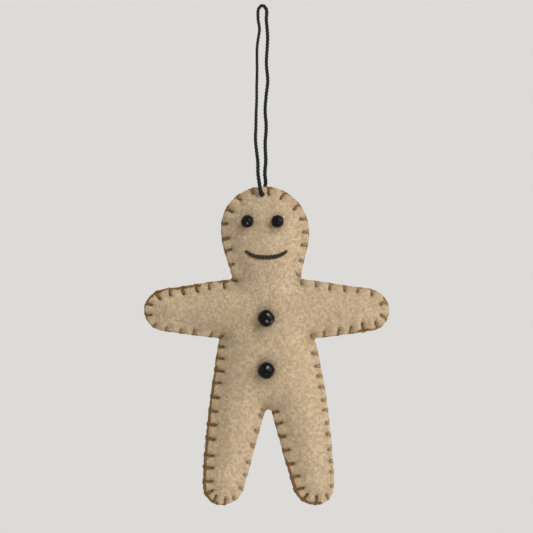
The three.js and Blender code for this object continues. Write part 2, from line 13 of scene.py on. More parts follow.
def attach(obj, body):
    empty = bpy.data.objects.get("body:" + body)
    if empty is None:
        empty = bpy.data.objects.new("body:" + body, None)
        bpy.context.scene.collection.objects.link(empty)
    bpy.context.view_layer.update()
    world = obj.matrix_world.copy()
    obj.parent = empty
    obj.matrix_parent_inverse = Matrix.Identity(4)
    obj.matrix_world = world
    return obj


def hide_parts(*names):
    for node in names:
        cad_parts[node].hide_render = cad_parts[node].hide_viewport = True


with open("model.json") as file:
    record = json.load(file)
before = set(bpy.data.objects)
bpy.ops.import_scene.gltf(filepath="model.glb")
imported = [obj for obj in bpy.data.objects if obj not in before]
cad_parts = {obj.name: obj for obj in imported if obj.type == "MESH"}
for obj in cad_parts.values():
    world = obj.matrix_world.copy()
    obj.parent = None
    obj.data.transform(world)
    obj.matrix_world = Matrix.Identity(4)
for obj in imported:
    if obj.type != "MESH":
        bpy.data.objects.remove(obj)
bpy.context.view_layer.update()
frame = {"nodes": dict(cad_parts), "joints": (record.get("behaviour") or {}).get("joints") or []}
scene = bpy.context.scene

# The view: the ornament hangs square in front of a long lens, level with its chest, and the loop of
# its cord reaches the top edge of the picture. The picture is square, so one field serves both ways.
LENS, SENSOR = 100.0, 36.0
FIELD = 0.1866
VIEW_CENTRE = Vector((0.00143, 0.0, -0.09135))

camera = bpy.data.objects.new("camera", bpy.data.cameras.new("camera"))
camera.data.lens = LENS
camera.data.sensor_width = SENSOR
camera.location = VIEW_CENTRE - Vector((0, FIELD * LENS / SENSOR, 0))
camera.rotation_euler = (math.pi / 2, 0, 0)
scene.collection.objects.link(camera)
scene.camera = camera

# Felt panels: two pieces of pressed wool felt, cut by hand to one pattern of a gingerbread figure and
# laid face to face. The stuffing swells them, and every stitch round the edge draws the felt in, so
# that the rim is scalloped and the faces pucker a little beside the seam.
FIGURE_X, FIGURE_TOP = 0.0013526, -0.064
FIGURE_HEIGHT, HEAD_RADIUS, HEAD_LEAN, FOOT_LEAN = 0.11015, 0.01475, -0.0005, 0.0008
NECK_DEPTH, NECK_HALF_WIDTH, NECK_RISE, CHEEK_DROP = 0.0323, 0.0113, 0.0052, 0.0067
ARM_REACH, ARM_END_DEPTH, ARM_END_RADIUS = 0.04215, 0.0426, 0.00675
ARMPIT_DEPTH, ARMPIT_HALF_WIDTH, THIGH_DEPTH = 0.0519, 0.0159, 0.0892
CROTCH_DEPTH, CROTCH_RADIUS, FOOT_OFFSET, FOOT_RADIUS = 0.0762, 0.0016, 0.01565, 0.00665
FOOT_SPLAY, HIP_EASE, HIP_DEPTH, HIP_SPAN = 0.0006, 0.00055, 0.072, 0.016
HEAD_STITCHES, ARM_STITCHES, LEG_STITCHES = 15, 14, 22
CURVE_STEPS, RIM_STEPS, CORNER_PASSES = 60, 12, 30
RIM_ROLL, RIM_FACE = 0.0004, 0.00135


def unit(vectors):
    return vectors / np.linalg.norm(vectors, axis=-1, keepdims=True)


def arc(centre, radius, start, end):
    angles = np.linspace(start, end, CURVE_STEPS)
    return np.array(centre) + radius * np.column_stack((np.cos(angles), np.sin(angles)))


def bend(*controls):
    """A curve that starts and ends at the outer controls and leans to those between."""
    share = np.linspace(0, 1, CURVE_STEPS)[:, None]
    rows = [np.array(control) * np.ones_like(share) for control in controls]
    while len(rows) > 1:
        rows = [(1 - share) * a + share * b for a, b in zip(rows, rows[1:])]
    return rows[0]


def spaced(path, count):
    """The same path in so many even steps."""
    steps = np.linalg.norm(np.diff(path, axis=0), axis=1)
    along = np.concatenate(([0], np.cumsum(steps)))
    places = np.linspace(0, along[-1], count + 1)
    return np.column_stack([np.interp(places, along, side) for side in path.T])


def mirrored(points):
    return (points * (-1, 1))[::-1]


def leaning(depth):
    """How far the figure leans aside at a depth: the head to the left and the feet to the right."""
    head = HEAD_LEAN * (NECK_DEPTH - depth) / (NECK_DEPTH - HEAD_RADIUS)
    feet = FOOT_LEAN * (depth - NECK_DEPTH) / (FIGURE_HEIGHT - NECK_DEPTH)
    return np.where(depth < NECK_DEPTH, head, feet)


def head_points():
    neck = np.array((NECK_HALF_WIDTH, -NECK_DEPTH))
    nape = (NECK_HALF_WIDTH, NECK_RISE - NECK_DEPTH)
    cheek = (HEAD_RADIUS, -HEAD_RADIUS - CHEEK_DROP)
    side = bend(neck, nape, cheek, (HEAD_RADIUS, -HEAD_RADIUS))
    top = arc((0, -HEAD_RADIUS), HEAD_RADIUS, 0, math.pi)
    return spaced(np.concatenate((side, top, mirrored(side))), 2 * HEAD_STITCHES)


def arm_points():
    armpit = np.array((ARMPIT_HALF_WIDTH, -ARMPIT_DEPTH))
    neck = np.array((NECK_HALF_WIDTH, -NECK_DEPTH))
    end = np.array((ARM_REACH - ARM_END_RADIUS, -ARM_END_DEPTH))
    below, above = end - armpit, end - neck
    low = math.atan2(below[1], below[0]) - math.asin(ARM_END_RADIUS / math.hypot(*below))
    high = math.atan2(above[1], above[0]) + math.asin(ARM_END_RADIUS / math.hypot(*above))
    hand = arc(end, ARM_END_RADIUS, low - math.pi / 2, high + math.pi / 2)
    return spaced(np.concatenate(([armpit], hand, [neck])), 2 * ARM_STITCHES)


def leg_points():
    crotch = CROTCH_DEPTH + CROTCH_RADIUS
    foot = FIGURE_HEIGHT - FOOT_RADIUS
    span = math.hypot(FOOT_OFFSET, foot - crotch)
    tilt = math.atan2(FOOT_OFFSET, foot - crotch) - math.asin((CROTCH_RADIUS + FOOT_RADIUS) / span)
    outside = FOOT_OFFSET + FOOT_RADIUS
    fork = arc((0, -crotch), CROTCH_RADIUS, math.pi / 2, tilt)
    toe = arc((FOOT_OFFSET, -foot), FOOT_RADIUS, math.pi + tilt, 2 * math.pi)
    toe[:, 0] += FOOT_SPLAY * np.maximum(0, -toe[:, 1] - foot) / FOOT_RADIUS
    hip = bend((outside, -foot), (outside, -THIGH_DEPTH), (ARMPIT_HALF_WIDTH, -ARMPIT_DEPTH))
    return spaced(np.concatenate((fork, toe, hip)), 2 * LEG_STITCHES + 1)


arm, leg = arm_points(), leg_points()
runs = [head_points(), mirrored(arm), mirrored(leg), leg, arm]
outline = np.concatenate([run[:-1] for run in runs])
hip = HIP_EASE * np.exp(-((outline[:, 1] + HIP_DEPTH) / HIP_SPAN) ** 2)
outline[:, 0] += leaning(-outline[:, 1]) + np.where(outline[:, 0] > 0, hip, 0)
outline += (FIGURE_X, FIGURE_TOP)
share = np.arange(RIM_STEPS)[None, :, None] / RIM_STEPS
rim = (outline[:, None] * (1 - share) + np.roll(outline, -1, axis=0)[:, None] * share).reshape(-1, 2)
for _ in range(CORNER_PASSES):
    rim = (np.roll(rim, 1, axis=0) + 2 * rim + np.roll(rim, -1, axis=0)) / 4
rim_ahead = unit(np.roll(rim, -1, axis=0) - np.roll(rim, 1, axis=0))
rim_inward = np.column_stack((-rim_ahead[:, 1], rim_ahead[:, 0]))
rim = rim - RIM_ROLL * rim_inward
rim_tree = KDTree(len(rim))
for order, (x, z) in enumerate(rim):
    rim_tree.insert((x, 0, z), order)
rim_tree.balance()

# Hand sewing is uneven: each stitch has its own place, length, slant and pull, and the felt bulges
# between one stitch and the next. The places and lengths were read from the photograph, in its pixels:
# where each stitch crosses the rim, across and down, and how long it looks, blur included. They go from
# the right side of the neck up over the head and round.
HEAD_SEEN = [
    (299.5, 275.5, 4), (303.5, 260.5, 5), (306, 245, 6.5), (307.5, 232.5, 6.5), (305.5, 218.5, 7),
    (298.5, 204.5, 8), (285.5, 193.5, 8.5), (269, 187.5, 8), (252.5, 188.5, 5.5), (238, 196, 5.5),
    (227.5, 208.5, 7.5), (221.5, 223.5, 6), (221.5, 239.5, 7.5), (224.5, 251.5, 7.5), (228.5, 265, 5),
]
LEFT_ARM_SEEN = [
    (232, 279, 6.5), (224, 281.5, 8), (209.5, 283, 7), (196, 285, 8), (182.5, 286.5, 8.5),
    (170.5, 289, 7.5), (157, 292.5, 9), (147, 303, 7), (144.5, 315, 6), (154.5, 326, 4),
    (167.5, 330.5, 4.5), (182, 332, 3.5), (195, 333.5, 5.5), (211, 334.5, 4.5),
]
LEFT_LEG_SEEN = [
    (219.5, 338, 5), (219.5, 346, 6.5), (217.5, 357.5, 7.5), (215, 369.5, 9.5), (212.5, 382.5, 8),
    (210.5, 395.5, 8.5), (209.5, 408.5, 8.5), (207.5, 423.5, 9.5), (206.5, 436.5, 9.5), (205, 453.5, 9.5),
    (204, 466, 10), (203.5, 480, 9.5), (205.5, 494, 9.5), (213.5, 503.5, 8), (226, 504.5, 6),
    (235.5, 499.5, 4.5), (242.5, 488, 4), (246.5, 475.5, 3.5), (250, 462.5, 4), (254.5, 446, 4.5),
    (258, 431, 5), (262.5, 416, 4),
]
RIGHT_LEG_SEEN = [
    (265, 410.5, 4.5), (272, 413, 6), (277, 423.5, 7), (280.5, 435.5, 7), (283.5, 450, 7),
    (287, 463.5, 8), (291, 476.5, 9.5), (296.5, 489, 10), (303.5, 499, 9), (316.5, 504.5, 9),
    (328.5, 498.5, 5), (332.5, 485, 3.5), (332.5, 472, 3), (332, 460.5, 3), (331, 448.5, 4),
    (330, 434, 4), (328.5, 422, 4), (327.5, 409, 5), (324, 400, 5), (323, 386.5, 5.5),
    (321.5, 375.5, 5.5), (319.5, 366, 5.5), (316, 353.5, 6),
]
RIGHT_ARM_SEEN = [
    (314, 338, 6), (325, 336.5, 5.5), (338.5, 335, 6), (351, 333.5, 7), (364, 332, 9),
    (379, 328, 7.5), (388, 319, 7), (386, 301, 7.5), (372.5, 290.5, 5.5), (358.5, 287.5, 5),
    (345, 285.5, 6), (330.5, 283.5, 6.5), (316.5, 281.5, 5), (303, 279, 5.5),
]
STITCHES_SEEN = HEAD_SEEN + LEFT_ARM_SEEN + LEFT_LEG_SEEN + RIGHT_LEG_SEEN + RIGHT_ARM_SEEN
PHOTO_WIDTH, SEEN_BLUR = 533, 0.7
PIXEL = FIELD / PHOTO_WIDTH
# The readings are good to half a pixel at best, so what comes of them is rounded to a tenth of a mm.
READING_DIGITS, LEAST_LEG = 4, 0.001
# The longer a stitch is on the front, the nearer the front the thread lies on the rim, less so on the
# head. Beside the longest ones it lies on the front itself.
USUAL_LEG, LONG_LEG = 0.0018, 0.0024
RIM_SETBACK, RIM_SINK = 0.0002, 0.0002
RIM_SWAY, HEAD_SWAY, FRONT_SWAY = 2.2, 0.8, 0.4
SWAY_CHANCE, SLANT_CHANCE, PULL_RANGE = 0.0002, 0.0004, (0.5, 1.2)
# Short stitches have sunk in the felt's nap, which pales them; those on right-hand edges are painted paler
# still, as painted light.
RIGHT_EDGE_LIGHT, PALE_LIMIT, NAP_DEPTH = 0.22, 0.6, 0.005
steps = np.linalg.norm(np.roll(rim, -1, axis=0) - rim, axis=1)
rim_along = np.concatenate(([0], np.cumsum(steps)))
rim_length, rim_along = rim_along[-1], rim_along[:-1]


def seen_on_rim(across, down):
    """How far along the rim the place lies that is nearest to a pixel of the photograph."""
    x = VIEW_CENTRE.x + (across - PHOTO_WIDTH / 2) * PIXEL
    z = VIEW_CENTRE.z - (down - PHOTO_WIDTH / 2) * PIXEL
    return rim_along[rim_tree.find((x, 0, z))[1]]


chance = random.Random(8)
sewn = []
for turn, (across, down, seen) in enumerate(STITCHES_SEEN):
    on_head = turn < HEAD_STITCHES
    even = rim_along[2 * RIM_STEPS * turn]
    shift = (seen_on_rim(across, down) - even + rim_length / 2) % rim_length - rim_length / 2
    mark = even + round(shift, READING_DIGITS)
    leg = max(LEAST_LEG, round((seen - SEEN_BLUR) * PIXEL, READING_DIGITS))
    order = int(np.searchsorted(rim_along, mark % rim_length)) % len(rim)
    sway = RIM_SETBACK - (leg - USUAL_LEG) * (HEAD_SWAY if on_head else RIM_SWAY)
    sway += chance.uniform(-SWAY_CHANCE, SWAY_CHANCE)
    slant = chance.uniform(-SLANT_CHANCE, SLANT_CHANCE)
    # Painted light on right-hand edges, and the nap that covers short stitches.
    nap_and_light = RIGHT_EDGE_LIGHT * (1 - rim_inward[order][0]) + (USUAL_LEG - leg) / NAP_DEPTH
    sewn.append({
        "mark": mark,
        "order": order,
        "leg": leg,
        "slant": slant,
        "sway": min(RIM_FACE, max(-RIM_FACE - RIM_SINK, sway)),
        "sink": RIM_SINK if on_head else RIM_SINK + FRONT_SWAY * max(0, leg - LONG_LEG),
        "nap_and_light": min(PALE_LIMIT, max(0, nap_and_light)),
        "pull": chance.uniform(*PULL_RANGE),
        "needle": rim[order] + rim_inward[order] * leg + rim_ahead[order] * slant,
    })
needle_tree = KDTree(len(sewn))
for order, stitch in enumerate(sewn):
    needle_tree.insert((stitch["needle"][0], 0, stitch["needle"][1]), order)
needle_tree.balance()
# At every place on the rim: how far the felt bulges, how far off the nearest stitch is, and which it is.
marks = np.array([stitch["mark"] for stitch in sewn])
marks = np.concatenate(([marks[-1] - rim_length], marks, [marks[0] + rim_length]))
before = np.clip(np.searchsorted(marks, rim_along) - 1, 0, len(sewn))
between = (rim_along - marks[before]) / (marks[before + 1] - marks[before])
rim_bulge = np.sin(math.pi * between) ** 2
rim_aside = np.minimum(rim_along - marks[before], marks[before + 1] - rim_along)
rim_sewn = [sewn[turn % len(sewn)] for turn in before - 1 + (between > 0.5)]

FELT_THICKNESS, SEAM_LAP = 0.0012, 0.0003
SWELL_LIMIT, SWELL_EVENNESS, SEAM_HOLD = 0.0065, 4.5e-05, 0.0035
SWELL_STEP, SWELL_PASSES, BLUR_PASSES, GRID_MARGIN = 0.00075, 3000, 6, 4
FELT_VOXEL, FELT_SMOOTHING = 0.00045, 3
TEST_STEP, EDGE_STEP = 4, 3
# Between two stitches the rim stands out and the face beside it puffs up. A stitch draws both in.
SCALLOP_OUT, SCALLOP_IN, SCALLOP_REACH = 0.0004, 0.00015, 0.0013
PUFF_HEIGHT, PUFF_DEPTH, PUFF_WIDTH = 0.00034, 0.0016, 0.0014
DRAW_DEPTH, DRAW_WIDTH, DRAW_FADE = 0.00038, 0.0007, 0.0008
NEEDLE_WIDTH, NEEDLE_DENT = 0.0006, 0.0003
# The rim is tinted a darker golden brown, least at the stitches and beside short ones.
TINT_LEAST, TINT_LEG, TINT_LEG_SPAN = 0.35, 0.0008, 0.0014
# Unevenness of the faces: how fine and how high.
BROAD_LUMPS, BROAD_HEIGHT, BROAD_EASE = 95, 0.0003, 0.004
FINE_LUMPS = ((420, 0.00009), (1150, 0.00005))

low = outline.min(axis=0) - GRID_MARGIN * SWELL_STEP
count = ((outline.max(axis=0) - low) / SWELL_STEP).astype(int) + GRID_MARGIN + 1
grid_x, grid_z = (low[axis] + SWELL_STEP * np.arange(count[axis]) for axis in (0, 1))


def inside_outline(x, z):
    inside = np.zeros(x.shape, bool)
    corners = rim[::TEST_STEP]
    for a, b in zip(corners, np.roll(corners, 1, axis=0)):
        if a[1] != b[1]:
            level = ((a[1] > z) != (b[1] > z))
            inside ^= level & (x < (b[0] - a[0]) * (z - a[1]) / (b[1] - a[1]) + a[0])
    return inside


def swell_field():
    """How far the stuffing lifts the felt over a grid: a skin held at the rim and pressed up evenly,
    levelled so that the limbs swell too, and held down beside the rim by the stitches."""
    x, z = np.meshgrid(grid_x, grid_z, indexing="ij")
    inside = inside_outline(x, z)
    push = np.zeros(x.shape)
    for _ in range(SWELL_PASSES):
        around = np.roll(push, 1, 0) + np.roll(push, -1, 0) + np.roll(push, 1, 1) + np.roll(push, -1, 1)
        push = np.where(inside, (around + SWELL_STEP ** 2) / 4, 0)
    depth = np.array([[rim_tree.find((a, 0, b))[2] for b in grid_z] for a in grid_x])
    lift = SWELL_LIMIT * push / (push + SWELL_EVENNESS) * depth ** 2 / (depth ** 2 + SEAM_HOLD ** 2)
    for _ in range(BLUR_PASSES):
        for axis in (0, 1):
            lift = (np.roll(lift, 1, axis) + 2 * lift + np.roll(lift, -1, axis)) / 4
    return lift


swell = swell_field()


def lift_at(x, z):
    """The swell at any place, between the four nearest of the grid."""
    across, up = (x - low[0]) / SWELL_STEP, (z - low[1]) / SWELL_STEP
    a, b = int(across), int(up)
    s, t = across - a, up - b
    near = (1 - t) * swell[a, b] + t * swell[a, b + 1]
    far = (1 - t) * swell[a + 1, b] + t * swell[a + 1, b + 1]
    return (1 - s) * near + s * far


def link(name, mesh):
    piece = bpy.data.objects.new(name, mesh)
    scene.collection.objects.link(piece)
    return piece


def opened(mesh):
    shape = bmesh.new()
    shape.from_mesh(mesh)
    return shape


def closed(shape, mesh):
    shape.to_mesh(mesh)
    shape.free()
    return mesh


def soften(shape, passes):
    for _ in range(passes):
        bmesh.ops.smooth_vert(shape, verts=shape.verts, factor=0.5, use_axis_x=True, use_axis_y=True,
                              use_axis_z=True)
    shape.normal_update()


def shade_smooth(mesh):
    mesh.polygons.foreach_set("use_smooth", [True] * len(mesh.polygons))


def evenly(piece, voxel):
    """Give a closed form an even fine mesh."""
    grid = piece.modifiers.new("grid", "REMESH")
    grid.mode = "VOXEL"
    grid.voxel_size = voxel
    grid.adaptivity = 0
    shape = piece.evaluated_get(bpy.context.evaluated_depsgraph_get())
    mesh = bpy.data.meshes.new_from_object(shape)
    piece.modifiers.clear()
    piece.data = mesh
    return piece


BEADS = ("left_eye", "right_eye", "upper_button", "lower_button")
bead_joints = {joint["child"]: joint for joint in frame["joints"] if joint["child"] in BEADS}
# How deep and how wide each bead's thread draws the felt in.
DENTS = {"left_eye": (0.0006, 0.0028), "right_eye": (0.0006, 0.0028),
         "upper_button": (0.0012, 0.0042), "lower_button": (0.0012, 0.0042)}
CORD_HOLE = Vector((0, 0, -0.0663))
SMILE_WIDTH, SMILE_DEPTH, SMILE_SAG, SMILE_BEND = 0.0144, 0.02195, 0.0022, 2.7
SMILE_DENT, SMILE_DENT_WIDTH, SMILE_DENT_END = 0.0003, 0.0012, 0.1
# How wide the beads' dents spread, then the painted shade round the beads and in the seam's corners: how dark
# and how wide.
BEAD_DENT_SPREAD, BEAD_SHADE, BEAD_SPREAD = 0.6, 0.75, 0.85
CORNER_SHADE, CORNER_SPREAD = 0.8, 1.5
# Soft folds where a limb meets the body, and the hollow beside the jaw: from and to, across and down
# from the top of the head, then width, depth and how far from the rim it fades.
FOLDS = [
    ((-0.0118, 0.0318), (-0.0065, 0.0385), 0.0016, 0.0004, 0),
    ((0.0118, 0.0318), (0.0078, 0.0365), 0.0015, 0.0003, 0),
    ((-0.0158, 0.0522), (-0.0070, 0.0562), 0.0018, 0.0004, 0),
    ((0.0158, 0.0522), (0.0085, 0.0550), 0.0016, 0.0003, 0),
    ((0.0002, 0.0765), (0.0004, 0.0705), 0.0018, 0.0003, 0),
    ((-0.0095, 0.0300), (0.0035, 0.0285), 0.0046, 0.0011, 0.0035),
]


def bell(distance, width):
    return math.exp(-((distance / width) ** 2))


def smile_depth(share):
    return SMILE_DEPTH + SMILE_SAG * (1 - abs(share) ** SMILE_BEND)


def from_bead(place, bead):
    centre = Vector(bead_joints[bead]["pos_m"])
    return math.hypot(place.x - centre.x, place.z - centre.z)


def from_point(place, point):
    """How far a place lies across and down from a point of the pattern."""
    return Vector((place.x - FIGURE_X - point[0], FIGURE_TOP - place.z - point[1]))


def dent(place):
    """How far the smile's yarn and the beads' threads draw the front felt in."""
    share = 2 * (place.x - FIGURE_X) / SMILE_WIDTH
    off_smile = FIGURE_TOP - place.z - smile_depth(share)
    total = SMILE_DENT * bell(off_smile, SMILE_DENT_WIDTH) * bell(max(0, abs(share) - 1), SMILE_DENT_END)
    for bead, (deep, wide) in DENTS.items():
        total += deep * bell(from_bead(place, bead), BEAD_DENT_SPREAD * wide)
    return total


def press_shade(place):
    """How much painted shade darkens the front felt where it is pressed in: round the beads and in the seam's
    corners.
    """
    shade = 0
    for start, _, wide, _, fade in FOLDS:
        if not fade:
            shade = max(shade, CORNER_SHADE * bell(from_point(place, start).length, CORNER_SPREAD * wide))
    for bead, (_, wide) in DENTS.items():
        shade = max(shade, BEAD_SHADE * bell(from_bead(place, bead), BEAD_SPREAD * wide))
    return shade


def crease(place, depth):
    """How deep the folds are at a place, so far in from the rim."""
    total = 0
    for start, end, wide, deep, fade in FOLDS:
        from_start = from_point(place, start)
        run = Vector((end[0] - start[0], end[1] - start[1]))
        share = min(1, max(0, from_start.dot(run) / run.length_squared))
        deep *= (1 - share) * bell((from_start - run * share).length, wide)
        total += deep * min(1, depth / fade) if fade else deep
    return total


def felt_panel(name, facing):
    """One panel: the pattern raised to the rim's thickness, then swollen, scalloped and puckered."""
    shape = bmesh.new()
    edge = [shape.verts.new((x, -facing * SEAM_LAP, z)) for x, z in rim[::EDGE_STEP]]
    grown = bmesh.ops.extrude_face_region(shape, geom=[shape.faces.new(edge)])
    outer = [part for part in grown["geom"] if isinstance(part, bmesh.types.BMVert)]
    bmesh.ops.translate(shape, verts=outer, vec=(0, facing * (RIM_FACE + SEAM_LAP), 0))
    bmesh.ops.recalc_face_normals(shape, faces=shape.faces)
    panel = evenly(link(name, closed(shape, bpy.data.meshes.new(name))), FELT_VOXEL)
    shape = opened(panel.data)
    seam = shape.verts.layers.float.new("seam")
    painted_shade = shape.verts.layers.float.new("painted_shade")
    for vert in shape.verts:
        x, y, z = vert.co
        _, order, depth = rim_tree.find((x, 0, z))
        face = min(1, max(0, facing * y / RIM_FACE))
        bulge, aside = rim_bulge[order], rim_aside[order]
        leg, pull = rim_sewn[order]["leg"], rim_sewn[order]["pull"]
        inner = Vector((rim_inward[order][0], 0, rim_inward[order][1]))
        at_rim = math.exp(-depth / SCALLOP_REACH)
        scallop = (SCALLOP_OUT * bulge - SCALLOP_IN * pull * (1 - bulge)) * at_rim
        puff = PUFF_HEIGHT * bulge * bell(depth - PUFF_DEPTH, PUFF_WIDTH)
        under = 1 if depth < leg else bell(depth - leg, DRAW_FADE)
        drawn = DRAW_DEPTH * pull * bell(aside, DRAW_WIDTH) * under * face
        broad = noise.noise(vert.co * BROAD_LUMPS) * BROAD_HEIGHT * min(1, depth / BROAD_EASE)
        lift = lift_at(x, z) + puff - drawn + broad - crease(vert.co, depth)
        if facing < 0:
            lift -= dent(vert.co)
        vert.co += Vector((0, facing * lift, 0)) - inner * scallop
        rim_tint = min(1, (leg - TINT_LEG) / TINT_LEG_SPAN)
        vert[seam] = at_rim * (TINT_LEAST + (1 - TINT_LEAST) * bulge) * rim_tint
    soften(shape, FELT_SMOOTHING)
    for vert in shape.verts:
        lumps = sum(noise.noise(vert.co * fine) * high for fine, high in FINE_LUMPS)
        # Painted shade in each needle hole, less where the stitch is paled, and on the front round the beads
        # and in the corners.
        _, turn, away = needle_tree.find((vert.co.x, 0, vert.co.z))
        hole = bell(away, NEEDLE_WIDTH)
        vert[painted_shade] = max(hole * (1 - sewn[turn]["nap_and_light"]), press_shade(vert.co) if facing < 0 else 0)
        vert.co += vert.normal * (lumps - NEEDLE_DENT * hole)
    shade_smooth(closed(shape, panel.data))
    return panel


def nodes_of(name):
    material = bpy.data.materials.new(name)
    material.use_nodes = True
    tree = material.node_tree
    return material, tree, tree.nodes["Principled BSDF"]


def put(tree, kind, inputs=(), **settings):
    """One node, with its settings and the values or links of its inputs."""
    node = tree.nodes.new(kind)
    for name, value in settings.items():
        setattr(node, name, value)
    for socket, value in dict(inputs).items():
        if isinstance(value, bpy.types.NodeSocket):
            tree.links.new(value, node.inputs[socket])
        else:
            node.inputs[socket].default_value = value
    return node


def times(tree, value, factor):
    return put(tree, "ShaderNodeMath", {0: value, 1: factor}, operation="MULTIPLY").outputs[0]


def mottle(tree, low, high, inputs):
    """Noise whose values from low to high are spread from 0 to 1."""
    field = put(tree, "ShaderNodeTexNoise", inputs).outputs["Fac"]
    return put(tree, "ShaderNodeMapRange", {"Value": field, "From Min": low, "From Max": high}).outputs[0]


def fuzz(tree, surface, height, strength, distance):
    """Fibres that stand up from a surface, too fine to model."""
    bump = put(tree, "ShaderNodeBump", {"Height": height, "Strength": strength, "Distance": distance})
    tree.links.new(bump.outputs[0], surface.inputs["Normal"])


def marked(tree, name):
    return put(tree, "ShaderNodeAttribute", attribute_name=name).outputs["Fac"]


def colour(code):
    """A colour as written for screens, in the linear values that shaders take."""
    parts = [int(code[place:place + 2], 16) / 255 for place in (1, 3, 5)]
    return tuple(((part + 0.055) / 1.055) ** 2.4 for part in parts) + (1.0,)


def tangle_group():
    """Short fibres that lie in every direction: how far each stands out, and soft clouds of tone."""
    group = bpy.data.node_groups.new("fibre_tangle", "ShaderNodeTree")
    sockets = group.interface
    sockets.new_socket("Place", in_out="INPUT", socket_type="NodeSocketVector")
    sockets.new_socket("Fineness", in_out="INPUT", socket_type="NodeSocketFloat")
    sockets.new_socket("Fibres", in_out="OUTPUT", socket_type="NodeSocketFloat")
    sockets.new_socket("Clouds", in_out="OUTPUT", socket_type="NodeSocketFloat")
    given = put(group, "NodeGroupInput").outputs
    lays = []
    for turn in (0.3, 1.3, 2.4):
        place = put(group, "ShaderNodeMapping", {"Vector": given["Place"], "Rotation": (0.2, turn, 0.1),
                                                 "Scale": (7, 1.6, 1)}, vector_type="TEXTURE")
        strand = put(group, "ShaderNodeTexNoise", {"Vector": place.outputs[0], "Scale": given["Fineness"],
                                                   "Detail": 2.0, "Roughness": 0.6, "Distortion": 0.35})
        lays.append(strand.outputs["Fac"])
    top = put(group, "ShaderNodeMath", {0: lays[0], 1: lays[1]}, operation="MAXIMUM")
    top = put(group, "ShaderNodeMath", {0: top.outputs[0], 1: lays[2]}, operation="MAXIMUM")
    fibres = put(group, "ShaderNodeMapRange", {"Value": top.outputs[0], "From Min": 0.42, "From Max": 0.78})
    wide = times(group, given["Fineness"], 0.16)
    clouds = mottle(group, 0.3, 0.7, {"Vector": given["Place"], "Scale": wide, "Detail": 5.0,
                                      "Roughness": 0.72, "Distortion": 0.8})
    put(group, "NodeGroupOutput", {"Fibres": fibres.outputs[0], "Clouds": clouds})
    return group


tangle = tangle_group()


def fibres_in(tree, place, fineness):
    return put(tree, "ShaderNodeGroup", {"Place": place, "Fineness": fineness}, node_tree=tangle)


def blend(tree, share, first, second):
    mix = put(tree, "ShaderNodeMix", data_type="RGBA")
    for socket, value in (("Factor_Float", share), ("A_Color", first), ("B_Color", second)):
        target = next(plug for plug in mix.inputs if plug.identifier == socket)
        if isinstance(value, bpy.types.NodeSocket):
            tree.links.new(value, target)
        else:
            target.default_value = value
    return next(plug for plug in mix.outputs if plug.identifier == "Result_Color")


def wool_felt():
    material, tree, surface = nodes_of("wool_felt")
    place = put(tree, "ShaderNodeTexCoord").outputs["Object"]
    beneath = put(tree, "ShaderNodeMapping", {"Vector": place, "Location": (0.31, 0.17, 0.23)})
    light, dark = (fibres_in(tree, where, fineness).outputs["Fibres"]
                   for where, fineness in ((place, 2600), (beneath.outputs[0], 2300)))
    marl = mottle(tree, 0.37, 0.63, {"Vector": place, "Scale": 900.0, "Detail": 2.0, "Roughness": 0.55,
                                     "Distortion": 0.3})
    patches = mottle(tree, 0.35, 0.65, {"Vector": place, "Scale": 170.0, "Detail": 4.0, "Roughness": 0.65})
    tint = mottle(tree, 0.35, 0.65, {"Vector": place, "Scale": 520.0, "Detail": 2.0, "Roughness": 0.5})
    tinted = blend(tree, tint, colour("#b09b79"), colour("#d2ad91"))
    shade = blend(tree, marl, colour("#937d5d"), colour("#cfba9a"))
    shade = blend(tree, times(tree, dark, 0.3), shade, colour("#74603f"))
    shade = blend(tree, times(tree, light, 0.4), shade, colour("#e0ceaf"))
    shade = blend(tree, 0.26, shade, tinted)
    shade = blend(tree, times(tree, patches, 0.4), shade, colour("#ad9373"))
    shade = blend(tree, times(tree, marked(tree, "seam"), 0.5), shade, colour("#b98f5e"))
    # Painted shade in the needle holes, round the beads and in the seam's corners.
    shade = blend(tree, times(tree, marked(tree, "painted_shade"), 0.5), shade, colour("#5d4a30"))
    tree.links.new(shade, surface.inputs["Base Color"])
    height = put(tree, "ShaderNodeMath", {0: light, 1: dark}, operation="ADD")
    fuzz(tree, surface, height.outputs[0], strength=0.6, distance=0.00025)
    surface.inputs["Roughness"].default_value = 0.95
    surface.inputs["Specular IOR Level"].default_value = 0.15
    surface.inputs["Sheen Weight"].default_value = 0.35
    surface.inputs["Sheen Roughness"].default_value = 0.6
    surface.inputs["Sheen Tint"].default_value = colour("#e8ddc8")
    return material


felt = wool_felt()
front_felt = felt_panel("front_felt", -1)
back_felt = felt_panel("back_felt", 1)
for panel in (front_felt, back_felt):
    panel.data.materials.clear()
    panel.data.materials.append(felt)
    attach(panel, "figure")
    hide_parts(panel.name + "_panel")
STUFFED = ("head", "torso", "left_arm", "right_arm", "left_leg", "right_leg")

# Smile: a thick dark embroidery yarn laid on the front felt in one curve and taken through to the
# inside at each end, where it thins. Yarn is several plies twisted together.
SMILE_YARN, SMILE_END_YARN, SMILE_SEAT = 0.0016, 0.00105, 0.1
SMILE_STEPS, SMILE_OVERRUN, SMILE_DIVE, DIVE_START = 61, 1.06, 0.011, 0.95
RAY_START, PLY_POINTS = 0.1, 6


def faces_of(piece):
    shape = opened(piece.data)
    tree = BVHTree.FromBMesh(shape)
    shape.free()
    return tree


felt_faces = {-1: faces_of(front_felt), 1: faces_of(back_felt)}


def on_felt(x, z, facing=-1):
    """The place on a panel's outer face, and the way it looks, or its level at the rim outside it."""
    start, way = Vector((x, facing * RAY_START, z)), Vector((0, -facing, 0))
    place, normal, _, _ = felt_faces[facing].ray_cast(start, way)
    if place is None:
        return Vector((x, facing * RIM_FACE, z)), Vector((0, facing, 0))
    return place, normal


